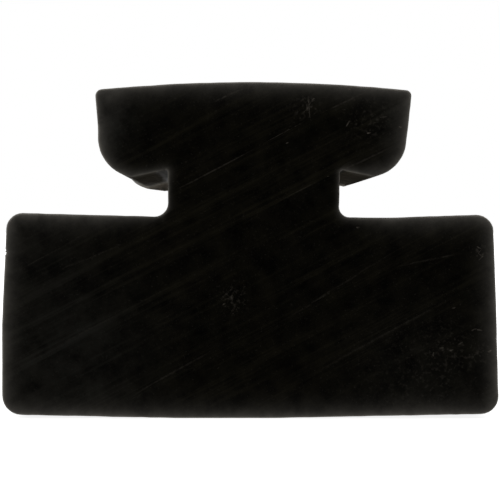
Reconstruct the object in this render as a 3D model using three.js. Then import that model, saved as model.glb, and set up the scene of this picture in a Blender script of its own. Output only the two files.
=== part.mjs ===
// String vibration dampener: one solid block of black rubber with a T-shaped section.
// A wide base, a narrow neck and a mushroom head run the whole length of the block.
// The slots between the head's wings and the base's shoulders grip one string on each side.
// Millimetres. X is across the section, Y along the length and Z up. The origin is the
// middle of the underside, at the middle of the length.

import * as THREE from "three";

// Driving dimensions
const LENGTH = 25; // between the two sawn ends
const OVERALL_HEIGHT = 18.9;

const BASE_WIDTH = 28; // across the foot's corners, before they are rounded
const BASE_TOP_WIDTH = 27.4;
const BASE_HEIGHT = 11.5; // at the shoulders' outer edges
const SHOULDER_DISH = 0.2; // how far the shoulders sink towards the neck
const UNDERSIDE_FLAT = 11; // width of the flat land that the block stands on
const UNDERSIDE_RISE = 0.2; // from that land to the foot's outer corners

const NECK_WIDTH = 9.65;
const SLOT_ROOT = 2.65; // slot height beside the neck
const SLOT_MOUTH = 2.2; // slot height between the wing's lip and the base

const HEAD_OFFSET = 0.18; // the head and neck stand this far to +X of the base's centre
const HEAD_TOP_WIDTH = 17.8;
const HEAD_TAPER = 0.1; // how far a head side comes in for each millimetre down
const HEAD_CROWN = 0.47; // rise of the head's top from its edges to its middle
const LIP_SPAN = 13.6; // between the lowest points of the two wings
const LIP_SLOPE = 0.3; // rise of a wing's lower edge outwards from its lip

const FOOT_RADIUS = 1.15;
const SHOULDER_RADIUS = 0.85;
const NECK_FOOT_RADIUS = 0.65;
const NECK_ROOT_RADIUS = 0.15;
const LIP_RADIUS = 0.2;
const WING_RADIUS = 2.4; // lower outer corner of the head
const CROWN_EDGE_RADIUS = 0.3; // upper outer corner of the head
const ARC_STEPS = 5; // quality of every rounded corner

// Heights that follow from them
const shoulderRootZ = BASE_HEIGHT - SHOULDER_DISH;
const wingRootZ = shoulderRootZ + SLOT_ROOT;
const lipZ = shoulderRootZ + SLOT_MOUTH;
const crownEdgeZ = OVERALL_HEIGHT - HEAD_CROWN;

// Where the line of a wing's lower edge meets the line of the head's side
function wingCorner() {
  const lipX = LIP_SPAN / 2;
  const sideXAtLip = HEAD_TOP_WIDTH / 2 - HEAD_TAPER * (crownEdgeZ - lipZ);
  const rise = (LIP_SLOPE * (sideXAtLip - lipX)) / (1 - LIP_SLOPE * HEAD_TAPER);
  return { x: sideXAtLip + HEAD_TAPER * rise, z: lipZ + rise };
}

// The head's top is one long arc. It is a very blunt corner, rounded almost edge to edge.
function crownPeak() {
  const halfWidth = HEAD_TOP_WIDTH / 2;
  const tilt = Math.atan((2 * HEAD_CROWN) / (halfWidth + CROWN_EDGE_RADIUS));
  const z = crownEdgeZ + halfWidth * Math.tan(tilt);
  const radius = (z - OVERALL_HEIGHT) / (1 / Math.cos(tilt) - 1);
  return { x: HEAD_OFFSET, z, r: radius };
}

// Corners of one side of the section, from the underside up, each with its rounding
function sideCorners(side) {
  const wing = wingCorner();
  const onBase = (x, z, r = 0) => ({ x: side * x, z, r });
  const onHead = (x, z, r) => ({ x: side * x + HEAD_OFFSET, z, r });
  return [
    onBase(UNDERSIDE_FLAT / 2, 0),
    onBase(BASE_WIDTH / 2, UNDERSIDE_RISE, FOOT_RADIUS),
    onBase(BASE_TOP_WIDTH / 2, BASE_HEIGHT, SHOULDER_RADIUS),
    onHead(NECK_WIDTH / 2, shoulderRootZ, NECK_FOOT_RADIUS),
    onHead(NECK_WIDTH / 2, wingRootZ, NECK_ROOT_RADIUS),
    onHead(LIP_SPAN / 2, lipZ, LIP_RADIUS),
    onHead(wing.x, wing.z, WING_RADIUS),
    onHead(HEAD_TOP_WIDTH / 2, crownEdgeZ, CROWN_EDGE_RADIUS),
  ];
}

// A closed outline through the corners, anticlockwise, with an arc in place of each rounded one
function roundedOutline(corners) {
  const shape = new THREE.Shape();
  corners.forEach((corner, i) => {
    const here = new THREE.Vector2(corner.x, corner.z);
    const before = corners.at(i - 1);
    const after = corners[(i + 1) % corners.length];
    const arriving = here.clone().sub(new THREE.Vector2(before.x, before.z)).normalize();
    const leaving = new THREE.Vector2(after.x, after.z).sub(here).normalize();
    const turn = Math.atan2(arriving.cross(leaving), arriving.dot(leaving));
    const reach = corner.r * Math.tan(Math.abs(turn) / 2);
    const start = here.clone().addScaledVector(arriving, -reach);
    if (i === 0) shape.moveTo(start.x, start.y);
    else shape.lineTo(start.x, start.y);
    if (corner.r > 0) {
      const bend = Math.sign(turn);
      const centre = start.clone().add(
        new THREE.Vector2(-arriving.y, arriving.x).multiplyScalar(bend * corner.r),
      );
      const from = start.clone().sub(centre).angle();
      shape.absarc(centre.x, centre.y, corner.r, from, from + turn, bend < 0);
    }
  });
  shape.closePath();
  return shape;
}

// The whole section: up the +X side, over the crown and down the -X side
function sectionOutline() {
  const left = sideCorners(-1).reverse();
  return roundedOutline([...sideCorners(1), crownPeak(), ...left]);
}

function dampenerBody() {
  const settings = { depth: LENGTH, bevelEnabled: false, curveSegments: ARC_STEPS };
  const geometry = new THREE.ExtrudeGeometry(sectionOutline(), settings);
  geometry.rotateX(Math.PI / 2);
  geometry.translate(0, LENGTH / 2, 0);
  const rubber = new THREE.MeshStandardMaterial({
    color: 0x0b0a0a,
    roughness: 0.75,
    metalness: 0,
  });
  const body = new THREE.Mesh(geometry, rubber);
  body.name = "dampener_body";
  return body;
}

const dampener = new THREE.Group();
dampener.add(dampenerBody());

export default dampener;
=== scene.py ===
import math
import random

import bmesh
import bpy
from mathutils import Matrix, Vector, kdtree


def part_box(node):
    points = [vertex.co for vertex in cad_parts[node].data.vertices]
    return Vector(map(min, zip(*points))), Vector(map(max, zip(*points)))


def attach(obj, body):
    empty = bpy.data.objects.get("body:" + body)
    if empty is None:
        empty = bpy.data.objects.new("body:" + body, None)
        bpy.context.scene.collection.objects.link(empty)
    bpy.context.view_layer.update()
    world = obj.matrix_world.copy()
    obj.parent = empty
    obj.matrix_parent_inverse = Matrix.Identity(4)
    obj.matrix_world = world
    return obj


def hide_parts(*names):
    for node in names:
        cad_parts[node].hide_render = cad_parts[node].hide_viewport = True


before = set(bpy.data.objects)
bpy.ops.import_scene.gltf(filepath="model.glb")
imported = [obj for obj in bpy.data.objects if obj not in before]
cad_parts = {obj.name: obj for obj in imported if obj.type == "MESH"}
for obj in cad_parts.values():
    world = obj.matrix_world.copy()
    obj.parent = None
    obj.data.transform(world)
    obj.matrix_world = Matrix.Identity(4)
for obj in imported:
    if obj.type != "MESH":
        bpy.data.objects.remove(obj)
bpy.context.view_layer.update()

# ---------------------------------------------------------------------------------------
# Sizes. The block is modelled in millimetres, because its finest marks are hundredths of
# one, and it is brought to metres when it is done. X is across the section, Y along it.
# ---------------------------------------------------------------------------------------
MM = 0.001
node_low, node_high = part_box("dampener_body")
FRONT_Y = node_low.y / MM
REAR_Y = node_high.y / MM
HEIGHT = node_high.z / MM

# Room left inside the node's box for the skin's unevenness
SIDE_ROOM, TOP_ROOM = 0.02, 0.035
SIDE_REACH = node_high.x / MM - SIDE_ROOM
CROWN_TOP = HEIGHT - TOP_ROOM

# Corners of the section as (x, z), for the -X side and the +X side. The two sides differ a
# little, as those of a drawn profile do.
FOOT = {-1: (-SIDE_REACH, 0.2), 1: (SIDE_REACH, 0.245)}
SIDE_WAIST = {-1: (-SIDE_REACH, 5.2), 1: (13.84, 5.2)}
SHOULDER = {-1: (-13.68, 11.54), 1: (13.63, 11.44)}
SHOULDER_DIP = {-1: (-9.4, 11.43), 1: (7.6, 11.255)}
NECK_FOOT = {-1: (-4.63, 11.3), 1: (4.95, 11.29)}
WING_ROOT = {-1: (-4.63, 13.98), 1: (5.05, 13.95)}
LIP = {-1: (-6.72, 13.52), 1: (6.95, 13.54)}
WING_CORNER = {-1: (-8.56, 14.17), 1: (8.58, 14.07)}
HEAD_WAIST = {-1: (-8.57, 16.4), 1: (8.87, 16.4)}
CROWN_EDGE = {-1: (-8.74, 18.44), 1: (9.07, 18.39)}
LAND_EDGE = {-1: -4.2, 1: 1.0}  # x of the edges of the flat land under the base

# Roundings of the long edges
FOOT_RADIUS = {-1: 1.1, 1: 1.0}
SHOULDER_RADIUS = {-1: 0.92, 1: 0.95}
NECK_FOOT_RADIUS = {-1: 0.75, 1: 0.6}
WING_ROOT_RADIUS = 0.15
LIP_RADIUS = 0.3
WING_RADIUS = {-1: 2.25, 1: 2.15}
CROWN_EDGE_RADIUS = {-1: 0.4, 1: 0.3}
ARC_STEPS = 7
SMALL_ARC_STEPS = 4
CROWN_STEPS = 26
CROWN_FULLNESS = 0.6  # 0.5 is a quarter of a circle, and higher is squarer
CROWN_MARGIN = 0.1  # of the head's top, left plain between the crown and the edge's rounding

# Cuts into the skin, so that it can be made uneven: lines along the block, rings round it
LINE_STEPS = (0.25, 0.55)  # the least and the most from one line to the next
LINE_MARGIN = 0.1  # a line is cut only this far or further from a flat's edges
LINE_FACING = 0.8  # and only into faces that look this far along X or Z
RING_STEP = 1.1  # from one ring to the next
END_RING_STEP = 0.35  # the same at the ends
RING_GROWTH = 0.4  # how much the step grows for each mm from an end
RING_UNEVENNESS = (0.8, 1.2)  # the least and the most of a step that is taken

# The sawn ends
CUT_DEPTH = 0.03  # how far the sawn face lies inside the block's length
BROKEN_EDGE = 0.14  # how far the edge of a sawn end is rubbed off
EDGE_STEPS = 3
TUBE_END = REAR_Y - CUT_DEPTH - BROKEN_EDGE  # where the skin stops and the broken edge starts
SAW_SLOPE = math.radians(27.5)  # the saw's marks rise to +X
ALONG_SAW = Vector((math.cos(SAW_SLOPE), 0, math.sin(SAW_SLOPE)))
ACROSS_SAW = Vector((-math.sin(SAW_SLOPE), 0, math.cos(SAW_SLOPE)))
MARK_REACH = 24  # how far from the middle of the block's foot the saw's cuts have to reach
MARK_STEPS = (0.09, 0.2)  # the least and the most from one of the saw's marks to the next
COARSE_STEPS = (0.8, 1.2)  # the same for the first cuts along the marks
CROSS_STEPS = (0.9, 1.5)  # the same for the cuts across the marks
RIM_WEIGHT = 0.3  # how strongly the saw's marks start at the skin
SAWN_FACE = TUBE_END + 0.9 * BROKEN_EDGE  # further out than this is the flat of a sawn face
SAWN_TILT = 0.2  # faces past the skin that turn this much along Y have the sawn finish

# Unevenness of the skin and of the sawn ends: the size of its clouds along X, Y and Z, and
# its depth
DIE_LINES = ((0.5, 30, 0.5), 0.03)
SOFT_WAVES = ((3, 9, 3), 0.03)
SAW_MARKS = ((7, 1, 0.22), 0.03)
SAW_WAVES = ((16, 1, 1.3), 0.02)
WAVE_SHIFT = 5  # how far the soft waves' pattern is moved
MARK_SHIFTS = {"front_end": 3, "rear_end": 60}  # the same for the saw's marks
SAW_WAVE_SHIFT = 9  # how much further the saw's waves are moved than its marks

CLOSE = 1e-3  # two places nearer than this are one place
FACING = 0.9  # a face looks along an axis if its normal goes this far along it
END_FACING = 0.99  # the same for the block's ends
SHARP_ANGLE = math.radians(40)  # edges that turn more than this are shaded sharp
SEED = 27

# Scratches in the front end: start (x, z), end (x, z), width, depth, paleness
SCRATCH_UNEVENNESS = (0.45, 1)  # the least and the most of its depth that is kept at a place
SCRATCHES = [
    ((6.76, 18.44), (3.26, 16.80), 0.15, 0.016, 0.25),
    ((3.26, 16.80), (0.61, 15.33), 0.17, 0.020, 0.29),
    ((0.61, 15.33), (-4.19, 12.79), 0.15, 0.016, 0.21),
    ((8.12, 15.28), (4.39, 13.58), 0.17, 0.018, 0.16),
    ((4.39, 13.58), (1.57, 12.17), 0.15, 0.014, 0.16),
    ((-1.87, 3.99), (-6.79, 1.16), 0.20, 0.018, 0.14),
    ((-7.18, 9.74), (-10.74, 8.33), 0.17, 0.014, 0.10),
    ((8.46, 9.63), (1.68, 5.34), 0.20, 0.018, 0.12),
    ((12.01, 9.29), (8.06, 8.50), 0.15, 0.012, 0.11),
    ((-0.18, 18.6), (-2.10, 17.76), 0.17, 0.016, 0.25),
    ((12.2, 7.3), (3.0, 2.2), 0.24, 0.016, 0.08),
    ((-3.6, 7.9), (-12.6, 3.1), 0.24, 0.016, 0.07),
    ((-8.8, 10.6), (-13.2, 8.2), 0.20, 0.014, 0.10),
]

# Nicks and torn places in the front end, in the same order of numbers
NICKS = [
    ((3.24, 18.1), (3.34, 16.85), 0.08, 0.030, 0.45),
    ((3.26, 17.6), (3.56, 17.95), 0.10, 0.030, 0.60),
    ((3.00, 17.2), (3.26, 17.45), 0.07, 0.020, 0.30),
    ((5.48, 18.46), (5.62, 18.50), 0.12, 0.030, 1.00),
    ((5.40, 16.40), (5.54, 16.66), 0.10, 0.030, 0.70),
    ((6.58, 16.00), (6.74, 16.02), 0.11, 0.030, 0.90),
    ((5.20, 17.30), (5.30, 17.32), 0.08, 0.020, 0.50),
    ((7.30, 16.88), (7.70, 16.94), 0.08, 0.020, 0.35),
    ((6.90, 16.55), (7.15, 16.62), 0.08, 0.020, 0.25),
    ((8.36, 16.36), (8.46, 16.32), 0.11, 0.025, 0.60),
    ((5.98, 10.70), (6.10, 10.72), 0.11, 0.030, 0.75),
    ((4.34, 13.56), (4.44, 13.60), 0.10, 0.025, 0.80),
    ((2.02, 15.44), (2.10, 15.46), 0.10, 0.020, 0.45),
    ((-13.78, 9.42), (-13.66, 9.28), 0.16, 0.030, 0.90),
    ((-0.33, 7.36), (-0.63, 6.86), 0.13, 0.050, 0.26),
    ((-0.63, 6.86), (-1.00, 6.04), 0.15, 0.050, 0.24),
    ((-1.06, 7.28), (-1.62, 6.72), 0.14, 0.050, 0.20),
    ((-1.44, 6.44), (-1.52, 6.38), 0.12, 0.030, 0.75),
    ((-0.90, 7.16), (-1.30, 6.48), 0.12, 0.040, 0.16),
    ((12.44, 4.94), (12.62, 5.02), 0.12, 0.020, 0.50),
    ((12.62, 5.02), (12.98, 4.92), 0.12, 0.020, 0.45),
    ((13.36, 3.74), (13.48, 3.80), 0.14, 0.030, 0.80),
    ((11.22, 3.80), (11.36, 3.84), 0.12, 0.020, 0.55),
    ((10.64, 3.92), (10.80, 3.96), 0.12, 0.020, 0.40),
    ((10.24, 3.52), (10.28, 3.68), 0.12, 0.020, 0.45),
    ((11.70, 4.16), (11.86, 4.28), 0.12, 0.020, 0.35),
    ((11.36, 6.18), (11.46, 6.20), 0.12, 0.020, 0.30),
    ((12.72, 9.62), (12.98, 9.50), 0.08, 0.015, 0.55),
    ((12.98, 9.50), (12.80, 9.26), 0.08, 0.015, 0.60),
    ((12.80, 9.26), (13.02, 9.06), 0.08, 0.015, 0.55),
    ((13.02, 9.06), (12.84, 8.88), 0.08, 0.015, 0.50),
]

# The chip out of the base's -X side at the front end: height, and how deep it is there
CHIP = [(9.54, 0.0), (9.42, 0.04), (9.30, 0.07), (9.22, 0.05), (9.14, 0.0)]
CHIP_LENGTH = 1.2
CHIP_TAPER = 0.7  # below 1, the chip stays deep for longer before it runs out
CHIP_ROOM = 1  # the side is cut for the chip this far above and below its middle
CHIP_BACK = 3  # and this far back from the front end
BASE_SIDE = -13  # x, and further out is the base's side

# The flare that the saw dragged down from the -X wing at the rear end
FLARE_LENGTH = 0.6
FLARE_DROP = 0.15  # under the lip
FLARE_SLOPE = 0.33  # more for each mm towards the neck
FLARE_LIMIT = 0.62
FLARE_FOOT = 12.4  # down the neck, the flare fades out at this height
FLARE_PAST_ROOT = 0.2  # how far into the neck's rounding the flare reaches
FLARE_CUTS = (0.12, 0.26, 0.42, FLARE_LENGTH)  # rings cut for it, this far from the rear end
FLARE_RAGGEDNESS = (0.94, 1.0)  # the least and the most of its drop that is kept at a place
FLARE_GLINT = 6  # how pale it is for each mm that it hangs down, a painted glint of light on its edge
FLARE_GLINT_LIMIT = 0.6
FLARE_EDGE_GLOW = 1.2  # how much nearer it counts to an edge for each mm, for the edges' wear and painted glow
FLARE_CRUMBS = 2.5  # how torn it is for each mm

# Pale edges of the sawn ends: a little wear, and a painted glow with a painted rim highlight along
# the outline. It fades faster by the neck's edges, which lie at (|x|, z), and at the rear end,
# which counts as if it were a little further from its edge.
NECK_EDGE = (4.8, 12.7)
NECK_SPREAD = (2.0, 2.2)
NECK_SHARPER = 3.0
REAR_SHARPER = 0.3

# Pale edges of the skin, partly wear and partly a painted glow. Each gap is the distance that the
# paleness starts at, and each fading says how fast it grows from there.
END_GAP, END_FADING = 0.12, 2
CORNER_GAP, CORNER_FADING = 0.38, 0.5
CORNER_REACH, CORNER_REACH_PER_RADIUS = 0.35, 0.6  # of the foot's and the shoulder's pale edges, wear and painted glow
CROWN_EDGE_REACH = 0.6
LIP_REACH = 0.5

# Dust has settled in the slots, between these heights, from the neck out to the mouth
SLOT_FLOOR, SLOT_ROOF = 11.0, 14.1
SLOT_INSIDE, SLOT_MOUTH = 4.4, 9.4
DUST_SPREAD = 3  # it thins out over this much before the mouth
WING_INSIDE, WING_UNDERSIDE = 5.3, 12.5  # further out and higher up is a wing's underside
WING_DUST = {-1: 1.0, 1: 1.7}  # on each wing's underside
FLOOR_DUST = 0.25  # on the slot's floor and on the neck
DUST_CRUMBS = 0.7  # how torn the dustiest place looks

# Torn and speckled places in the front end: (x, z), reach, strength
TORN = [((-1.0, 6.9), 0.55, 0.65), ((-0.75, 6.2), 0.4, 0.45), ((11.3, 3.9), 1.3, 0.22),
        ((9.6, 1.9), 3.0, 0.17), ((6.6, 16.7), 1.2, 0.35), ((3.2, 17.6), 0.5, 0.9),
        ((12.9, 9.3), 0.35, 0.8), ((13.3, 3.8), 0.4, 0.7)]

# Places where pale painted sheen lies on the ends, standing in for light on the saw's marks: (x,
# z), reach, strength
PAINTED_SHEEN = [((-10.4, 3.4), 4.6, 0.75), ((9.5, 2.2), 3.4, 0.4), ((-11.8, 9.6), 2.4, 0.4),
          ((-8.2, 16.6), 1.6, 1.3), ((8.6, 16.6), 1.5, 0.7)]


# ---------------------------------------------------------------------------------------
# Selecting by place, in edit mode
# ---------------------------------------------------------------------------------------
def edit_mesh():
    return bmesh.from_edit_mesh(bpy.context.object.data)


def select_faces(wanted):
    """Selects the shown faces that are wanted, and returns them."""
    bpy.ops.mesh.select_all(action="DESELECT")
    bpy.ops.mesh.select_mode(type="FACE")
    chosen = [face for face in edit_mesh().faces if not face.hide and wanted(face)]
    for face in chosen:
        face.select_set(True)
    bmesh.update_edit_mesh(bpy.context.object.data)
    return chosen


def select_edges(wanted):
    bpy.ops.mesh.select_all(action="DESELECT")
    bpy.ops.mesh.select_mode(type="EDGE")
    chosen = [edge for edge in edit_mesh().edges if wanted(edge)]
    for edge in chosen:
        edge.select_set(True)
    bmesh.update_edit_mesh(bpy.context.object.data)
    return chosen


def select_long_edges(x, z):
    """Selects the edges that run along the block at (x, z), and returns how far they turn."""
    def is_there(edge):
        return all(abs(v.co.x - x) < CLOSE and abs(v.co.z - z) < CLOSE for v in edge.verts)

    return max(edge.calc_face_angle(0.0) for edge in select_edges(is_there))


def cut(point, normal):
    """Cuts the selected faces along a plane."""
    bpy.ops.mesh.bisect(plane_co=point, plane_no=normal, threshold=1e-5)


def move_long_edge(start, end):
    select_long_edges(*start)
    step = (end[0] - start[0], 0, end[1] - start[1])
    bpy.ops.transform.translate(value=step)


def round_long_edge(place, radius, steps=ARC_STEPS, fullness=None):
    """Rounds a long edge, with the fullness of a round arc if none is given."""
    turn = select_long_edges(*place)
    reach = radius * math.tan(turn / 2)
    if fullness is None:
        fullness = (1 - 1 / (2 + 2 * math.cos(turn / 2))) ** 2
    bpy.ops.mesh.bevel(offset=reach, segments=steps, profile=fullness, affect="EDGES",
                       clamp_overlap=False)


def looks_along(face, axis, sign, low_z=-math.inf, high_z=math.inf):
    """True for a face that looks along an axis and has its middle between two heights."""
    middle = face.calc_center_median()
    return face.normal[axis] * sign > FACING and low_z < middle.z < high_z


def is_end(face):
    return abs(face.normal.y) > END_FACING


# ---------------------------------------------------------------------------------------
# The block, as a plain drawn section
# ---------------------------------------------------------------------------------------
def rough_t_block():
    """A cube drawn out to the base, its middle raised to neck and head, the wings pulled out."""
    bpy.ops.object.select_all(action="DESELECT")
    bpy.ops.mesh.primitive_cube_add(size=1, location=(0, 0, 0))
    block = bpy.context.object
    block.name = "dampener_block"
    block.data.name = "dampener_block"
    bpy.ops.object.mode_set(mode="EDIT")
    top_z = SHOULDER[-1][1]
    bpy.ops.transform.resize(value=(2 * SIDE_REACH, 2 * TUBE_END, top_z))
    bpy.ops.transform.translate(value=(0, 0, top_z / 2))
    for side in (-1, 1):
        bpy.ops.mesh.select_all(action="SELECT")
        cut((NECK_FOOT[side][0], 0, 0), (1, 0, 0))

    wing_z = WING_ROOT[-1][1]
    select_faces(lambda f: looks_along(f, 2, 1) and abs(f.calc_center_median().x) < 1)
    for next_z in (wing_z, CROWN_EDGE[-1][1]):
        lift = (0, 0, next_z - top_z)
        bpy.ops.mesh.extrude_region_move(TRANSFORM_OT_translate={"value": lift})
        top_z = next_z
    for side in (-1, 1):
        select_faces(lambda f: looks_along(f, 0, side, low_z=wing_z))
        reach = (WING_CORNER[side][0] - NECK_FOOT[side][0], 0, 0)
        bpy.ops.mesh.extrude_region_move(TRANSFORM_OT_translate={"value": reach})
    return block


def clear_spare_edges():
    """Joins faces that lie in one plane, so that each end is a single face."""
    bpy.ops.mesh.select_all(action="SELECT")
    bpy.ops.mesh.dissolve_limited(angle_limit=math.radians(0.2))


def cut_extra_corners():
    """The long edges that the rough block lacks: lips, waists, dips and the land's edges."""
    clear_spare_edges()
    wing_z = WING_ROOT[-1][1]
    for side in (-1, 1):
        select_faces(lambda f: looks_along(f, 2, -1, low_z=wing_z - CLOSE))
        cut((LIP[side][0], 0, 0), (1, 0, 0))
        select_faces(lambda f: looks_along(f, 0, side, low_z=wing_z))
        cut((0, 0, HEAD_WAIST[side][1]), (0, 0, 1))
        select_faces(lambda f: looks_along(f, 0, side, high_z=wing_z / 2))
        cut((0, 0, SIDE_WAIST[side][1]), (0, 0, 1))
        select_faces(lambda f: looks_along(f, 2, 1, high_z=wing_z))
        cut((SHOULDER_DIP[side][0], 0, 0), (1, 0, 0))
        select_faces(lambda f: looks_along(f, 2, -1, high_z=1))
        cut((LAND_EDGE[side], 0, 0), (1, 0, 0))


def place_corners():
    """Moves every long edge from its place on the rough block to its place on the section."""
    shoulder_z = SHOULDER[-1][1]
    wing_z = WING_ROOT[-1][1]
    for side in (-1, 1):
        wing_x = WING_CORNER[side][0]
        neck_x = NECK_FOOT[side][0]
        move_long_edge((side * SIDE_REACH, 0), FOOT[side])
        move_long_edge((side * SIDE_REACH, SIDE_WAIST[side][1]), SIDE_WAIST[side])
        move_long_edge((side * SIDE_REACH, shoulder_z), SHOULDER[side])
        move_long_edge((SHOULDER_DIP[side][0], shoulder_z), SHOULDER_DIP[side])
        move_long_edge((neck_x, shoulder_z), NECK_FOOT[side])
        move_long_edge((neck_x, wing_z), WING_ROOT[side])
        move_long_edge((LIP[side][0], wing_z), LIP[side])
        move_long_edge((wing_x, wing_z), WING_CORNER[side])
        move_long_edge((wing_x, HEAD_WAIST[side][1]), HEAD_WAIST[side])
        move_long_edge((wing_x, CROWN_EDGE[-1][1]), (CROWN_EDGE[side][0], CROWN_EDGE[-1][1]))


def raise_crown():
    """Raises a ridge along the head and rounds it nearly edge to edge, into one long arc."""
    (left_x, left_z), (right_x, right_z) = CROWN_EDGE[-1], CROWN_EDGE[1]
    ridge_x, crown_z = (left_x + right_x) / 2, (left_z + right_z) / 2
    half_width = (right_x - left_x) / 2
    move_long_edge((right_x, left_z), (right_x, right_z))
    select_faces(lambda f: looks_along(f, 2, 1, low_z=crown_z - 1))
    cut((ridge_x, 0, 0), (1, 0, 0))
    reach = half_width - max(CROWN_EDGE_RADIUS.values()) - CROWN_MARGIN
    lost = 2 * (1 - math.sqrt(CROWN_FULLNESS)) * reach  # of the ridge, to its rounding
    slope = (CROWN_TOP - crown_z) / (half_width - lost)
    peak_z = crown_z + slope * half_width
    move_long_edge((ridge_x, crown_z), (ridge_x, peak_z))
    round_long_edge((ridge_x, peak_z), reach / slope, CROWN_STEPS, CROWN_FULLNESS)


def round_long_edges():
    for side in (-1, 1):
        round_long_edge(FOOT[side], FOOT_RADIUS[side])
        round_long_edge(SHOULDER[side], SHOULDER_RADIUS[side])
        round_long_edge(NECK_FOOT[side], NECK_FOOT_RADIUS[side])
        round_long_edge(WING_ROOT[side], WING_ROOT_RADIUS, SMALL_ARC_STEPS)
        round_long_edge(LIP[side], LIP_RADIUS, SMALL_ARC_STEPS)
        round_long_edge(WING_CORNER[side], WING_RADIUS[side], 2 * ARC_STEPS)
        round_long_edge(CROWN_EDGE[side], CROWN_EDGE_RADIUS[side])


# ---------------------------------------------------------------------------------------
# The skin, worked as an open tube
# ---------------------------------------------------------------------------------------
def open_ends():
    select_faces(is_end)
    bpy.ops.mesh.delete(type="FACE")


def cut_draw_lines(chance):
    """Cuts the flats along the block at uneven steps, for the lines that the die leaves."""
    def takes_line(face, axis, place):
        if abs(face.normal[2 - axis]) <= LINE_FACING:
            return False
        reaches = [v.co[axis] for v in face.verts]
        return min(reaches) + LINE_MARGIN < place < max(reaches) - LINE_MARGIN

    for axis, start, end in ((0, -SIDE_REACH, SIDE_REACH), (2, 0, HEIGHT)):
        normal = (1, 0, 0) if axis == 0 else (0, 0, 1)
        place = start
        while place < end:
            place += chance.uniform(*LINE_STEPS)
            if select_faces(lambda f: takes_line(f, axis, place)):
                cut((place if axis == 0 else 0, 0, place if axis == 2 else 0), normal)


def cut_across(chance):
    """Cuts the skin across the block at uneven steps, closer together near the sawn ends."""
    place = FRONT_Y
    while place < REAR_Y:
        from_end = min(place - FRONT_Y, REAR_Y - place)
        step = min(RING_STEP, END_RING_STEP + RING_GROWTH * from_end)
        place += chance.uniform(*RING_UNEVENNESS) * step
        bpy.ops.mesh.select_all(action="SELECT")
        cut((0, place, 0), (0, 1, 0))


def chip_side():
    """Takes the small chip out of the base's side, deepest at the front end."""
    middle_z = CHIP[len(CHIP) // 2][0]

    def is_near(face):
        at_front = face.calc_center_median().y < FRONT_Y + CHIP_BACK
        return at_front and looks_along(face, 0, -1, middle_z - CHIP_ROOM, middle_z + CHIP_ROOM)

    for height, _ in CHIP:
        select_faces(is_near)
        cut((0, 0, height), (0, 0, 1))
    for v in edit_mesh().verts:
        fade = 1 - (v.co.y - FRONT_Y) / CHIP_LENGTH
        for height, depth in CHIP:
            if v.co.x < BASE_SIDE and fade > 0 and abs(v.co.z - height) < CLOSE:
                v.co.x += depth * fade ** CHIP_TAPER
    bmesh.update_edit_mesh(bpy.context.object.data)


def flare_at(x, y, z):
    """How far the flare under the -X wing hangs down at a place on the skin."""
    lip_x, wing_x = LIP[-1][0], WING_CORNER[-1][0]
    inside_x = WING_ROOT[-1][0] + FLARE_PAST_ROOT
    near_end = (y - TUBE_END + FLARE_LENGTH) / FLARE_LENGTH
    if near_end <= 0 or not wing_x < x < inside_x or z > WING_CORNER[-1][1]:
        return 0.0
    drop = min(FLARE_LIMIT, FLARE_DROP + FLARE_SLOPE * max(0, x - lip_x))
    drop *= min(1, 2 * (x - wing_x) / (lip_x - wing_x))
    down_neck = (z - FLARE_FOOT) / (LIP[-1][1] - FLARE_FOOT)
    return drop * min(1, max(0, down_neck)) * near_end ** 2


def flare_wing(chance):
    """Drags the rear edge of the -X wing's underside down into a ragged flare."""
    for step in FLARE_CUTS:
        bpy.ops.mesh.select_all(action="SELECT")
        cut((0, TUBE_END - step, 0), (0, 1, 0))
    for v in edit_mesh().verts:
        v.co.z -= flare_at(*v.co) * chance.uniform(*FLARE_RAGGEDNESS)
    bmesh.update_edit_mesh(bpy.context.object.data)


def rest_flat(block):
    """Flattens the few places that the ruffling pushed below the plane that it rests on."""
    for v in block.data.vertices:
        v.co.z = max(v.co.z, 0)


def ruffle(group, feature, depth, axis="NORMAL", turn=0.0, shift=0.0, detail=2):
    """Moves a group's vertices by a cloudy pattern whose clouds have a given size in mm."""
    block = bpy.context.object
    grain = bpy.data.objects.new("grain", None)
    bpy.context.scene.collection.objects.link(grain)
    grain.location = (shift, shift, shift)
    grain.rotation_euler = (0, turn, 0)
    grain.scale = feature
    clouds = bpy.data.textures.new("grain", "CLOUDS")
    clouds.noise_scale = 1
    clouds.noise_depth = detail
    push = block.modifiers.new("grain", "DISPLACE")
    push.texture = clouds
    push.texture_coords = "OBJECT"
    push.texture_coords_object = grain
    push.direction = axis
    push.vertex_group = group
    push.strength = depth
    bpy.ops.object.modifier_apply(modifier=push.name)
    bpy.data.objects.remove(grain)
    bpy.data.textures.remove(clouds)


# ---------------------------------------------------------------------------------------
# The sawn ends
# ---------------------------------------------------------------------------------------
def close_ends():
    """Fills each end with one face, and breaks its edge with rings round a quarter turn."""
    for side in (-1, 1):
        select_edges(lambda e: e.is_boundary and e.verts[0].co.y * side > 0)
        bpy.ops.mesh.edge_face_add()
    bpy.ops.mesh.select_all(action="SELECT")
    bpy.ops.mesh.normals_make_consistent(inside=False)
    many_corners = 100  # only the two faces that fill the ends have so many
    select_faces(lambda f: is_end(f) and len(f.verts) > many_corners)
    quarter = math.pi / 2
    for step in range(EDGE_STEPS):
        before, after = quarter * step / EDGE_STEPS, quarter * (step + 1) / EDGE_STEPS
        inward = BROKEN_EDGE * (math.cos(before) - math.cos(after))
        outward = BROKEN_EDGE * (math.sin(after) - math.sin(before))
        bpy.ops.mesh.inset(thickness=inward, depth=outward, use_even_offset=True)
    bpy.ops.mesh.hide(unselected=True)


def cut_all_ends(chance, normal, steps):
    """Cuts both ends right across, at uneven steps along a direction."""
    place = -MARK_REACH
    while place < MARK_REACH:
        bpy.ops.mesh.select_all(action="SELECT")
        cut(normal * place, normal)
        place += chance.uniform(*steps)


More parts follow.
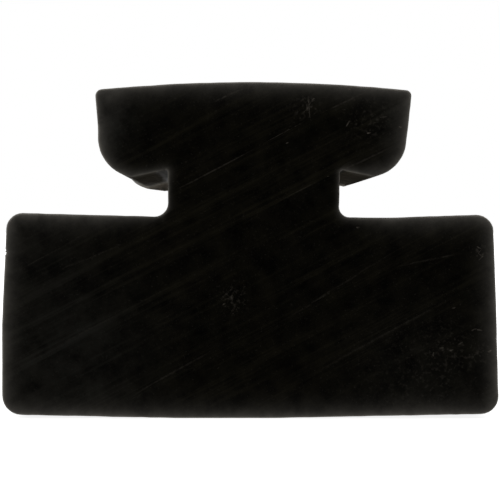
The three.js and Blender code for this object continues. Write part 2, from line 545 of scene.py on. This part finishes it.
def stroke_frame(start, end):
    """A stroke's start, its direction, the direction across it, and its length."""
    start, end = Vector((start[0], 0, start[1])), Vector((end[0], 0, end[1]))
    run = (end - start).normalized()
    return start, run, Vector((-run.z, 0, run.x)), (end - start).length


def cut_stroke(start, end, width):
    """Cuts a stroke's middle and its two sides into the front end, and then its tips."""
    start, run, across, length = stroke_frame(start, end)

    def is_near(face):
        if face.normal.y > 0:
            return False
        runs = [(v.co - start).dot(run) for v in face.verts]
        asides = [(v.co - start).dot(across) for v in face.verts]
        return (min(runs) < length + width and max(runs) > -width
                and min(asides) < width and max(asides) > -width)

    for shift in (-width / 2, 0, width / 2):
        if select_faces(is_near):
            cut(start + across * shift, across)
    for tip in (-width / 2, 0, length, length + width / 2):
        if select_faces(is_near):
            cut(start + run * tip, run)


def saw_ends(chance):
    """Cuts both ends into the saw's narrow marks, with the strokes in their places."""
    cut_all_ends(chance, ALONG_SAW, CROSS_STEPS)
    cut_all_ends(chance, ACROSS_SAW, COARSE_STEPS)
    for start, end, width, _, _ in SCRATCHES + NICKS:
        cut_stroke(start, end, width)
    cut_all_ends(chance, ACROSS_SAW, MARK_STEPS)
    bpy.ops.mesh.reveal()


def group_ends(block):
    """Vertex groups of the two sawn faces, whose weight grows over the broken edges."""
    for name, side in (("front_end", -1), ("rear_end", 1)):
        group = block.vertex_groups.new(name=name)
        for v in block.data.vertices:
            beyond = v.co.y * side - TUBE_END
            if beyond > CLOSE:
                weight = min(1, RIM_WEIGHT + (1 - RIM_WEIGHT) * beyond / BROKEN_EDGE)
                group.add([v.index], weight, "REPLACE")


def keep(block, name, values):
    """Keeps one number for each vertex, under a name that the materials read."""
    attribute = block.data.attributes.new(name, "FLOAT", "POINT")
    attribute.data.foreach_set("value", values)


def press_strokes(block, chance):
    """Sinks the strokes into the front end, and keeps how pale they are and how pale the flare is,
    a painted glint.
    """
    vertices = block.data.vertices
    # The flare's paleness is a painted glint of light on its edge; the strokes' paleness is their
    # own colour
    scuff_and_glint = [min(FLARE_GLINT_LIMIT, FLARE_GLINT * flare_at(*v.co)) for v in vertices]
    front = [v for v in vertices if v.co.y < -SAWN_FACE]
    for number, (start, end, width, depth, paleness) in enumerate(SCRATCHES + NICKS):
        start, run, across, length = stroke_frame(start, end)
        for v in front:
            offset = v.co - start
            along = offset.dot(run)
            if abs(offset.dot(across)) > CLOSE or not -CLOSE < along < length + CLOSE:
                continue
            fade = 1.0
            if number < len(SCRATCHES):  # these fade over a quarter of their length at each tip
                fade = min(1, 4 * along / length, 4 * (1 - along / length))
                fade *= chance.uniform(*SCRATCH_UNEVENNESS)
            v.co.y += depth * fade
            scuff_and_glint[v.index] = max(scuff_and_glint[v.index], paleness * fade)
    keep(block, "scuff_and_glint", scuff_and_glint)


# ---------------------------------------------------------------------------------------
# Where the finish is worn and dusty, and where glow, glint and sheen are painted on: attributes
# that the materials read
# ---------------------------------------------------------------------------------------
def outline_tree(block):
    """The outline of the front end, as points close together."""
    mesh = block.data
    point_gap = 0.05
    places = []
    for edge in mesh.edges:
        a, b = (mesh.vertices[i].co for i in edge.vertices)
        if abs(a.y + TUBE_END) < CLOSE and abs(b.y + TUBE_END) < CLOSE:
            steps = max(1, int((b - a).length / point_gap))
            places += [a.lerp(b, step / steps) for step in range(steps)]
    tree = kdtree.KDTree(len(places))
    for number, place in enumerate(places):
        tree.insert((place.x, 0, place.z), number)
    tree.balance()
    return tree


def worn_and_glowing_corners():
    """The skin's pale long edges, worn and with a painted glow, each as its place (x, z) and how
    far the paleness reaches.
    """
    corners = []
    for places, radii in ((FOOT, FOOT_RADIUS), (SHOULDER, SHOULDER_RADIUS)):
        for side in (-1, 1):
            reach = CORNER_REACH_PER_RADIUS * radii[side] + CORNER_REACH
            corners.append((places[side], reach))
    corners += [(CROWN_EDGE[side], CROWN_EDGE_REACH) for side in (-1, 1)]
    corners += [(LIP[side], LIP_REACH) for side in (-1, 1)]
    return corners


def gap_on_end(outline, x, y, z):
    """How far a place on a sawn end counts as being from its outline, for the wear and painted
    glow along it.
    """
    (edge_x, edge_z), (spread_x, spread_z) = NECK_EDGE, NECK_SPREAD
    by_neck = math.hypot((abs(x) - edge_x) / spread_x, (z - edge_z) / spread_z)
    gap = outline.find((x, 0, z))[2] * (1 + NECK_SHARPER * math.exp(-by_neck * by_neck))
    if y > 0:
        gap += REAR_SHARPER
    return gap


def gap_on_skin(corners, x, y, z):
    """How far a place on the skin counts as being from a pale end, long edge or flare, for the
    wear and painted glow.
    """
    gap = END_GAP + END_FADING * (TUBE_END - abs(y))
    for (corner_x, corner_z), reach in corners:
        far = math.hypot(x - corner_x, z - corner_z) / reach
        gap = min(gap, CORNER_GAP + CORNER_FADING * far * far)
    return max(0, gap - FLARE_EDGE_GLOW * flare_at(x, y, z))


def slot_dust(x, z):
    """How much dust lies at a place on the skin: most of it is under the wings."""
    if not SLOT_FLOOR < z < SLOT_ROOF or abs(x) <= SLOT_INSIDE:
        return 0.0
    depth = min(1, max(0, (SLOT_MOUTH - abs(x)) / DUST_SPREAD))
    if abs(x) > WING_INSIDE and z > WING_UNDERSIDE:
        return depth * WING_DUST[1 if x > 0 else -1]
    return depth * FLOOR_DUST


def spots(x, z, places):
    """How strongly a place lies in soft round spots, each ((x, z), reach, strength)."""
    total = 0.0
    for (spot_x, spot_z), reach, strength in places:
        far = math.hypot(x - spot_x, z - spot_z) / reach
        total += strength * math.exp(-far * far)
    return total


def mark_wear_and_painted_light(block):
    """Keeps, for each vertex, its distance in mm from an edge with wear and painted glow, its dust
    in the slots and painted sheen on the ends, and its tearing.
    """
    outline = outline_tree(block)
    corners = worn_and_glowing_corners()
    gaps, dust_and_sheen, torn = [], [], []
    for v in block.data.vertices:
        x, y, z = v.co
        if abs(y) > TUBE_END:
            # On the ends: the distance for the wear and painted glow, and pale spots of painted
            # sheen
            gaps.append(gap_on_end(outline, x, y, z))
            dust_and_sheen.append(spots(x, z, PAINTED_SHEEN))
            torn.append(spots(x, z, TORN) if y < 0 else 0.0)
        else:
            # On the skin: real dust in the slots, and the distance for the wear and painted glow
            dust = slot_dust(x, z)
            gaps.append(gap_on_skin(corners, x, y, z))
            dust_and_sheen.append(dust)
            torn.append(min(1, DUST_CRUMBS * dust + FLARE_CRUMBS * flare_at(x, y, z)))
    keep(block, "edge_gap", gaps)
    keep(block, "dust_and_sheen", dust_and_sheen)
    keep(block, "torn", torn)


# ---------------------------------------------------------------------------------------
# Making the block
# ---------------------------------------------------------------------------------------
def make_block():
    chance = random.Random(SEED)
    block = rough_t_block()
    cut_extra_corners()
    place_corners()
    clear_spare_edges()
    raise_crown()
    round_long_edges()
    open_ends()
    cut_draw_lines(chance)
    cut_across(chance)
    chip_side()
    bpy.ops.object.mode_set(mode="OBJECT")
    ruffle("", *DIE_LINES)
    ruffle("", *SOFT_WAVES, shift=WAVE_SHIFT)
    rest_flat(block)
    bpy.ops.object.mode_set(mode="EDIT")
    flare_wing(chance)
    close_ends()
    saw_ends(chance)
    bpy.ops.object.mode_set(mode="OBJECT")
    group_ends(block)
    for name, shift in MARK_SHIFTS.items():
        ruffle(name, *SAW_MARKS, "Y", -SAW_SLOPE, shift)
        ruffle(name, *SAW_WAVES, "Y", -SAW_SLOPE, shift + SAW_WAVE_SHIFT)
    press_strokes(block, chance)
    mark_wear_and_painted_light(block)
    return block


def to_metres(block):
    bpy.ops.object.select_all(action="DESELECT")
    block.select_set(True)
    bpy.context.view_layer.objects.active = block
    bpy.ops.transform.resize(value=(MM, MM, MM))
    bpy.ops.object.transform_apply(location=False, rotation=False, scale=True)
    bpy.ops.object.shade_smooth_by_angle(angle=SHARP_ANGLE)


# ---------------------------------------------------------------------------------------
# Materials
# ---------------------------------------------------------------------------------------
def lay_out(tree, columns):
    """Puts each effect's nodes in a column of their own, in a frame that names the effect."""
    column_width, row_height = 320, 300
    for column, (effect, members) in enumerate(columns.items()):
        around = tree.nodes.new("NodeFrame")
        around.label = effect
        for row, node in enumerate(members):
            node.parent = around
            node.location = (column_width * column, -row_height * row)


def black_rubber(name, turn, stretch, dark, pale, dust_and_sheen_tint, wear_and_glow_tint, roughness, shine):
    """Black rubber whose fine lines run one way: turn brings that way to X."""
    material = bpy.data.materials.new(name)
    material.use_nodes = True
    tree = material.node_tree
    tree.nodes.clear()
    new, link = tree.nodes.new, tree.links.new

    # Places, in millimetres, as they are and stretched along the lines
    place = new("ShaderNodeTexCoord")
    place.label = "place on the block"
    plain = new("ShaderNodeMapping")
    plain.label = "in millimetres"
    plain.inputs["Scale"].default_value = (1 / MM, 1 / MM, 1 / MM)
    turned = new("ShaderNodeMapping")
    turned.label = "lines brought to X"
    turned.inputs["Rotation"].default_value = turn
    drawn = new("ShaderNodeMapping")
    drawn.label = "stretched along the lines"
    drawn.inputs["Scale"].default_value = stretch

    # Lines that the tool left
    fine = new("ShaderNodeTexNoise")
    fine.label = "fine lines"
    fine.inputs["Scale"].default_value = 5.5
    fine.inputs["Detail"].default_value = 3
    fine.inputs["Roughness"].default_value = 0.65
    bands = new("ShaderNodeTexNoise")
    bands.label = "broad bands"
    bands.inputs["Scale"].default_value = 0.9
    bands.inputs["Detail"].default_value = 2
    line_mix = new("ShaderNodeMath")
    line_mix.label = "lines within bands"
    line_mix.operation = "MULTIPLY"
    line_range = new("ShaderNodeMapRange")
    line_range.label = "how much the lines show"
    line_range.inputs["From Min"].default_value = 0.24
    line_range.inputs["From Max"].default_value = 0.42
    line_range.inputs["To Max"].default_value = 0.46

    # Dust and mottling, and the pale spots of painted sheen on the sawn ends
    mottle = new("ShaderNodeTexNoise")
    mottle.label = "mottling"
    mottle.inputs["Scale"].default_value = 0.9
    mottle.inputs["Detail"].default_value = 5
    mottle.inputs["Roughness"].default_value = 0.68
    blotches = new("ShaderNodeMapRange")
    blotches.label = "blotches"
    blotches.inputs["From Min"].default_value = 0.34
    blotches.inputs["From Max"].default_value = 0.68
    blotches.inputs["To Max"].default_value = 0.46
    specks = new("ShaderNodeTexNoise")
    specks.label = "specks of dust"
    specks.inputs["Scale"].default_value = 9
    specks.inputs["Detail"].default_value = 2
    speck_cut = new("ShaderNodeMapRange")
    speck_cut.label = "only the brightest specks"
    speck_cut.inputs["From Min"].default_value = 0.62
    speck_cut.inputs["From Max"].default_value = 0.76
    speck_cut.inputs["To Max"].default_value = 0.25
    # Real dust in the skin's slots, and painted sheen in pale spots on the sawn ends
    dust_and_sheen = new("ShaderNodeAttribute")
    dust_and_sheen.label = "dust_and_sheen"
    dust_and_sheen.attribute_name = "dust_and_sheen"
    dust_and_sheen_lines = new("ShaderNodeMath")
    dust_and_sheen_lines.label = "lines, evened out"
    dust_and_sheen_lines.operation = "MULTIPLY_ADD"
    dust_and_sheen_lines.inputs[1].default_value = 1.3
    dust_and_sheen_lines.inputs[2].default_value = 0.2
    dust_and_sheen_break = new("ShaderNodeMath")
    dust_and_sheen_break.label = "bloom broken up by the lines"
    dust_and_sheen_break.operation = "MULTIPLY"

    # Wear and painted light: pale edges, partly worn and partly a painted glow with a painted rim
    # highlight;
    # scratches and nicks, with the flare's painted glint; torn places
    gap = new("ShaderNodeAttribute")
    gap.label = "mm from a rubbed edge"
    gap.attribute_name = "edge_gap"
    # The broad haze is a painted glow and the narrow rim a painted rim highlight, mixed with the
    # edges' wear
    fade = new("ShaderNodeMath")
    fade.label = "broad fading"
    fade.operation = "MULTIPLY"
    fade.inputs[1].default_value = -2.5
    broad = new("ShaderNodeMath")
    broad.label = "broad haze"
    broad.operation = "EXPONENT"
    thinned = new("ShaderNodeMath")
    thinned.label = "broad haze thinned"
    thinned.operation = "MULTIPLY"
    thinned.inputs[1].default_value = 0.75
    sharp_fade = new("ShaderNodeMath")
    sharp_fade.label = "quick fading"
    sharp_fade.operation = "MULTIPLY"
    sharp_fade.inputs[1].default_value = -8.3
    rim = new("ShaderNodeMath")
    rim.label = "narrow rim"
    rim.operation = "EXPONENT"
    wear_and_glow = new("ShaderNodeMath")
    wear_and_glow.label = "rubbed edges"
    wear_and_glow.operation = "MULTIPLY_ADD"
    wear_and_glow.inputs[1].default_value = 0.7
    wear_and_glow_break = new("ShaderNodeMapRange")
    wear_and_glow_break.label = "wear broken up by mottling"
    wear_and_glow_break.inputs["From Min"].default_value = 0.3
    wear_and_glow_break.inputs["From Max"].default_value = 0.7
    wear_and_glow_break.inputs["To Min"].default_value = 0.6
    wear_and_glow_break.inputs["To Max"].default_value = 1.1
    wear_and_glow_here = new("ShaderNodeMath")
    wear_and_glow_here.label = "wear here"
    wear_and_glow_here.operation = "MULTIPLY"
    wear_and_glow_here.use_clamp = True
    # Scratches and nicks, and the flare's paleness, a painted glint
    scuff_and_glint = new("ShaderNodeAttribute")
    scuff_and_glint.label = "scratches and nicks"
    scuff_and_glint.attribute_name = "scuff_and_glint"
    torn = new("ShaderNodeAttribute")
    torn.label = "torn places"
    torn.attribute_name = "torn"
    crumbs = new("ShaderNodeTexNoise")
    crumbs.label = "crumbs"
    crumbs.inputs["Scale"].default_value = 4.5
    crumbs.inputs["Detail"].default_value = 3
    crumb_cut = new("ShaderNodeMapRange")
    crumb_cut.label = "only the larger crumbs"
    crumb_cut.inputs["From Min"].default_value = 0.52
    crumb_cut.inputs["From Max"].default_value = 0.72
    crumb_cut.inputs["To Max"].default_value = 0.45
    torn_here = new("ShaderNodeMath")
    torn_here.label = "crumbs in the torn places"
    torn_here.operation = "MULTIPLY"
    scuff_and_glint_break = new("ShaderNodeMapRange")
    scuff_and_glint_break.label = "scratches broken up"
    scuff_and_glint_break.inputs["From Min"].default_value = 0.38
    scuff_and_glint_break.inputs["From Max"].default_value = 0.56
    scuff_and_glint_break.inputs["To Min"].default_value = 0.35
    scuff_and_glint_break.inputs["To Max"].default_value = 1.2
    pale_marks = new("ShaderNodeMath")
    pale_marks.label = "scratches and crumbs"
    pale_marks.operation = "MULTIPLY_ADD"
    pale_marks.use_clamp = True

    # Colour, one layer over another
    tone = new("ShaderNodeMath")
    tone.label = "lines over blotches"
    tone.operation = "ADD"
    body = new("ShaderNodeMix")
    body.label = "rubber with its lines"
    body.data_type = "RGBA"
    body.inputs["A"].default_value = (*dark, 1)
    body.inputs["B"].default_value = (*pale, 1)
    # Painted sheen on the sawn ends, and real dust in the skin's slots
    with_dust_and_sheen = new("ShaderNodeMix")
    with_dust_and_sheen.label = "with bloom"
    with_dust_and_sheen.data_type = "RGBA"
    with_dust_and_sheen.inputs["B"].default_value = (*dust_and_sheen_tint, 1)
    dusted = new("ShaderNodeMix")
    dusted.label = "with dust"
    dusted.data_type = "RGBA"
    dusted.inputs["B"].default_value = (0.10, 0.092, 0.078, 1)
    # Pale edges: real wear, with a painted glow and a painted rim highlight
    worn_and_glowing = new("ShaderNodeMix")
    worn_and_glowing.label = "with rubbed edges"
    worn_and_glowing.data_type = "RGBA"
    worn_and_glowing.inputs["B"].default_value = (*wear_and_glow_tint, 1)
    # Pale scratches and nicks, and the flare's painted glint
    with_scuffs_and_glint = new("ShaderNodeMix")
    with_scuffs_and_glint.label = "with scratches"
    with_scuffs_and_glint.data_type = "RGBA"
    with_scuffs_and_glint.inputs["B"].default_value = (0.34, 0.30, 0.25, 1)

    # Gloss and relief
    gloss = new("ShaderNodeMapRange")
    gloss.label = "duller where it is mottled"
    gloss.inputs["From Min"].default_value = 0.3
    gloss.inputs["From Max"].default_value = 0.7
    gloss.inputs["To Min"].default_value = roughness[0]
    gloss.inputs["To Max"].default_value = roughness[1]
    dulled = new("ShaderNodeMath")
    dulled.label = "dull under the bloom"
    dulled.operation = "MAXIMUM"
    lines_up = new("ShaderNodeBump")
    lines_up.label = "height of the fine lines"
    lines_up.inputs["Strength"].default_value = 0.6
    lines_up.inputs["Distance"].default_value = 0.02 * MM
    pits_up = new("ShaderNodeBump")
    pits_up.label = "height of the specks"
    pits_up.inputs["Strength"].default_value = 0.4
    pits_up.inputs["Distance"].default_value = 0.01 * MM

    rubber = new("ShaderNodeBsdfPrincipled")
    rubber.label = "black rubber"
    rubber.inputs["Specular IOR Level"].default_value = shine
    out = new("ShaderNodeOutputMaterial")
    out.label = "surface of the block"

    link(place.outputs["Object"], plain.inputs["Vector"])
    link(plain.outputs["Vector"], turned.inputs["Vector"])
    link(turned.outputs["Vector"], drawn.inputs["Vector"])
    link(drawn.outputs["Vector"], fine.inputs["Vector"])
    link(drawn.outputs["Vector"], bands.inputs["Vector"])
    link(fine.outputs["Fac"], line_mix.inputs[0])
    link(bands.outputs["Fac"], line_mix.inputs[1])
    link(line_mix.outputs["Value"], line_range.inputs["Value"])
    link(plain.outputs["Vector"], mottle.inputs["Vector"])
    link(plain.outputs["Vector"], specks.inputs["Vector"])
    link(specks.outputs["Fac"], speck_cut.inputs["Value"])
    link(dust_and_sheen.outputs["Fac"], dust_and_sheen_break.inputs[0])
    link(tone.outputs["Value"], dust_and_sheen_lines.inputs[0])
    link(dust_and_sheen_lines.outputs["Value"], dust_and_sheen_break.inputs[1])
    link(mottle.outputs["Fac"], wear_and_glow_break.inputs["Value"])
    link(gap.outputs["Fac"], fade.inputs[0])
    link(fade.outputs["Value"], broad.inputs[0])
    link(broad.outputs["Value"], thinned.inputs[0])
    link(gap.outputs["Fac"], sharp_fade.inputs[0])
    link(sharp_fade.outputs["Value"], rim.inputs[0])
    link(rim.outputs["Value"], wear_and_glow.inputs[0])
    link(thinned.outputs["Value"], wear_and_glow.inputs[2])
    link(wear_and_glow.outputs["Value"], wear_and_glow_here.inputs[0])
    link(wear_and_glow_break.outputs["Result"], wear_and_glow_here.inputs[1])
    link(plain.outputs["Vector"], crumbs.inputs["Vector"])
    link(crumbs.outputs["Fac"], crumb_cut.inputs["Value"])
    link(crumb_cut.outputs["Result"], torn_here.inputs[0])
    link(torn.outputs["Fac"], torn_here.inputs[1])
    link(crumbs.outputs["Fac"], scuff_and_glint_break.inputs["Value"])
    link(scuff_and_glint.outputs["Fac"], pale_marks.inputs[0])
    link(scuff_and_glint_break.outputs["Result"], pale_marks.inputs[1])
    link(torn_here.outputs["Value"], pale_marks.inputs[2])
    link(mottle.outputs["Fac"], blotches.inputs["Value"])
    link(line_range.outputs["Result"], tone.inputs[0])
    link(blotches.outputs["Result"], tone.inputs[1])
    link(tone.outputs["Value"], body.inputs["Factor"])
    link(body.outputs["Result"], with_dust_and_sheen.inputs["A"])
    link(dust_and_sheen_break.outputs["Value"], with_dust_and_sheen.inputs["Factor"])
    link(with_dust_and_sheen.outputs["Result"], dusted.inputs["A"])
    link(speck_cut.outputs["Result"], dusted.inputs["Factor"])
    link(dusted.outputs["Result"], worn_and_glowing.inputs["A"])
    link(wear_and_glow_here.outputs["Value"], worn_and_glowing.inputs["Factor"])
    link(worn_and_glowing.outputs["Result"], with_scuffs_and_glint.inputs["A"])
    link(pale_marks.outputs["Value"], with_scuffs_and_glint.inputs["Factor"])
    link(with_scuffs_and_glint.outputs["Result"], rubber.inputs["Base Color"])
    link(mottle.outputs["Fac"], gloss.inputs["Value"])
    link(gloss.outputs["Result"], dulled.inputs[0])
    link(dust_and_sheen.outputs["Fac"], dulled.inputs[1])
    link(dulled.outputs["Value"], rubber.inputs["Roughness"])
    link(line_mix.outputs["Value"], lines_up.inputs["Height"])
    link(specks.outputs["Fac"], pits_up.inputs["Height"])
    link(lines_up.outputs["Normal"], pits_up.inputs["Normal"])
    link(pits_up.outputs["Normal"], rubber.inputs["Normal"])
    link(rubber.outputs["BSDF"], out.inputs["Surface"])

    lay_out(tree, {
        "lines of the tool": (place, plain, turned, drawn, fine, bands, line_mix, line_range),
        "dust, mottling and bloom": (mottle, blotches, specks, speck_cut, dust_and_sheen, dust_and_sheen_lines,
                                     dust_and_sheen_break),
        "rubbed edges": (gap, fade, broad, thinned, sharp_fade, rim, wear_and_glow, wear_and_glow_break, wear_and_glow_here),
        # The scratches also carry the flare's painted glint
        "scratches and torn places": (scuff_and_glint, torn, crumbs, crumb_cut, torn_here, scuff_and_glint_break,
                                      pale_marks),
        "colour": (tone, body, with_dust_and_sheen, dusted, worn_and_glowing, with_scuffs_and_glint),
        "gloss and relief": (gloss, dulled, lines_up, pits_up),
        "surface": (rubber, out),
    })
    return material


def finish_block(block):
    """The drawn skin all over, and the sawn finish on the two ends."""
    # On the skin, the colour for dust is real dust in the slots, and the colour for the edges
    # their wear with a painted glow
    skin = black_rubber(
        "drawn_skin", turn=(0, 0, math.radians(90)), stretch=(0.02, 1, 1),
        dark=(0.008, 0.0072, 0.005), pale=(0.034, 0.031, 0.024), dust_and_sheen_tint=(0.58, 0.52, 0.42),
        wear_and_glow_tint=(0.17, 0.16, 0.14), roughness=(0.42, 0.6), shine=0.4)
    # On the sawn ends, the colour for the spots is a painted sheen, and the colour for the edges a
    # painted glow and rim highlight, with a little wear
    sawn = black_rubber(
        "sawn_end", turn=(0, SAW_SLOPE, 0), stretch=(0.025, 1, 1),
        dark=(0.0018, 0.0014, 0.0006), pale=(0.031, 0.0275, 0.0165), dust_and_sheen_tint=(0.045, 0.044, 0.039),
        wear_and_glow_tint=(0.325, 0.305, 0.27), roughness=(0.6, 0.8), shine=0.05)
    block.data.materials.append(skin)
    block.data.materials.append(sawn)
    for face in block.data.polygons:
        if abs(face.center.y) > TUBE_END * MM and abs(face.normal.y) > SAWN_TILT:
            face.material_index = 1


block = make_block()
to_metres(block)
finish_block(block)
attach(block, "root")
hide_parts("dampener_body")


# ---------------------------------------------------------------------------------------
# Floor, light and camera
# ---------------------------------------------------------------------------------------
FLOOR_WIDTH = 6  # metres
FLOOR_DROP = 0.00002  # metres, so that the floor and the block's foot don't lie in one plane


def floor_paint():
    """White, dull and glowing, so that the floor stays as pale as the backdrop."""
    paint = bpy.data.materials.new("pale_floor")
    paint.use_nodes = True
    tree = paint.node_tree
    tree.nodes.clear()
    surface = tree.nodes.new("ShaderNodeBsdfPrincipled")
    surface.label = "white, dull and glowing"
    surface.inputs["Base Color"].default_value = (0.85, 0.85, 0.85, 1)
    surface.inputs["Roughness"].default_value = 0.9
    surface.inputs["Specular IOR Level"].default_value = 0.1
    surface.inputs["Emission Color"].default_value = (1, 1, 1, 1)
    surface.inputs["Emission Strength"].default_value = 0.85
    out = tree.nodes.new("ShaderNodeOutputMaterial")
    out.label = "surface of the floor"
    tree.links.new(surface.outputs["BSDF"], out.inputs["Surface"])
    lay_out(tree, {"paint": (surface,), "surface": (out,)})
    return paint


def pale_floor():
    bpy.ops.object.select_all(action="DESELECT")
    bpy.ops.mesh.primitive_plane_add(size=FLOOR_WIDTH, location=(0, 0, -FLOOR_DROP))
    floor = bpy.context.object
    floor.name = "floor"
    floor.data.materials.append(floor_paint())
    floor.visible_diffuse = False
    floor.visible_glossy = False


def light_tent():
    """White all round to look at, but as a light darker in front than at the sides and behind."""
    world = bpy.data.worlds.new("light_tent")
    bpy.context.scene.world = world
    world.use_nodes = True
    tree = world.node_tree
    tree.nodes.clear()
    new, link = tree.nodes.new, tree.links.new
    way = new("ShaderNodeTexCoord")
    way.label = "way the ray goes"
    split = new("ShaderNodeSeparateXYZ")
    split.label = "its part along the block"
    front = new("ShaderNodeMapRange")
    front.label = "dark opening in front"
    front.interpolation_type = "SMOOTHSTEP"
    front.inputs["From Min"].default_value = -0.45
    front.inputs["From Max"].default_value = 0.05
    front.inputs["To Min"].default_value = 0.13
    front.inputs["To Max"].default_value = 0.9
    lean = new("ShaderNodeVectorMath")
    lean.label = "brighter from -X and from above"
    lean.operation = "DOT_PRODUCT"
    lean.inputs[1].default_value = (-0.28, 0, 0.22)
    level = new("ShaderNodeMath")
    level.label = "about full strength"
    level.operation = "ADD"
    level.inputs[1].default_value = 1
    strength = new("ShaderNodeMath")
    strength.label = "front opening and lean together"
    strength.operation = "MULTIPLY"
    tent = new("ShaderNodeBackground")
    tent.label = "light of the tent"
    tent.inputs["Color"].default_value = (1, 1, 1, 1)
    backdrop = new("ShaderNodeBackground")
    backdrop.label = "white backdrop"
    backdrop.inputs["Color"].default_value = (1, 1, 1, 1)
    seen = new("ShaderNodeLightPath")
    seen.label = "seen or lighting"
    both = new("ShaderNodeMixShader")
    both.label = "backdrop to look at, tent to light with"
    out = new("ShaderNodeOutputWorld")
    out.label = "world"

    link(way.outputs["Generated"], split.inputs["Vector"])
    link(split.outputs["Y"], front.inputs["Value"])
    link(way.outputs["Generated"], lean.inputs[0])
    link(lean.outputs["Value"], level.inputs[0])
    link(front.outputs["Result"], strength.inputs[0])
    link(level.outputs["Value"], strength.inputs[1])
    link(strength.outputs["Value"], tent.inputs["Strength"])
    link(seen.outputs["Is Camera Ray"], both.inputs["Fac"])
    link(tent.outputs["Background"], both.inputs[1])
    link(backdrop.outputs["Background"], both.inputs[2])
    link(both.outputs["Shader"], out.inputs["Surface"])

    lay_out(tree, {
        "way of the ray": (way, split),
        "front opening and lean": (front, lean, level, strength),
        "tent and backdrop": (tent, backdrop, seen),
        "world": (both, out),
    })


LENS_BACK = 100  # mm from the sawn end to the lens
LENS_X, LENS_Z = -1.65, 10.76  # mm
VIEW_WIDTH = 28.04  # mm that the frame is wide at the sawn end
SHIFT_X, SHIFT_Y = 0.058, -0.047  # of the frame, in frame widths


def end_on_camera():
    camera = bpy.data.objects.new("camera", bpy.data.cameras.new("camera"))
    bpy.context.scene.collection.objects.link(camera)
    bpy.context.scene.camera = camera
    camera.location = (LENS_X * MM, (FRONT_Y - LENS_BACK) * MM, LENS_Z * MM)
    camera.rotation_euler = (math.radians(90), 0, 0)
    camera.data.lens = camera.data.sensor_width * LENS_BACK / VIEW_WIDTH
    camera.data.shift_x = SHIFT_X
    camera.data.shift_y = SHIFT_Y
    camera.data.clip_start = MM


pale_floor()
light_tent()
end_on_camera()
bpy.context.scene.view_settings.view_transform = "Standard"
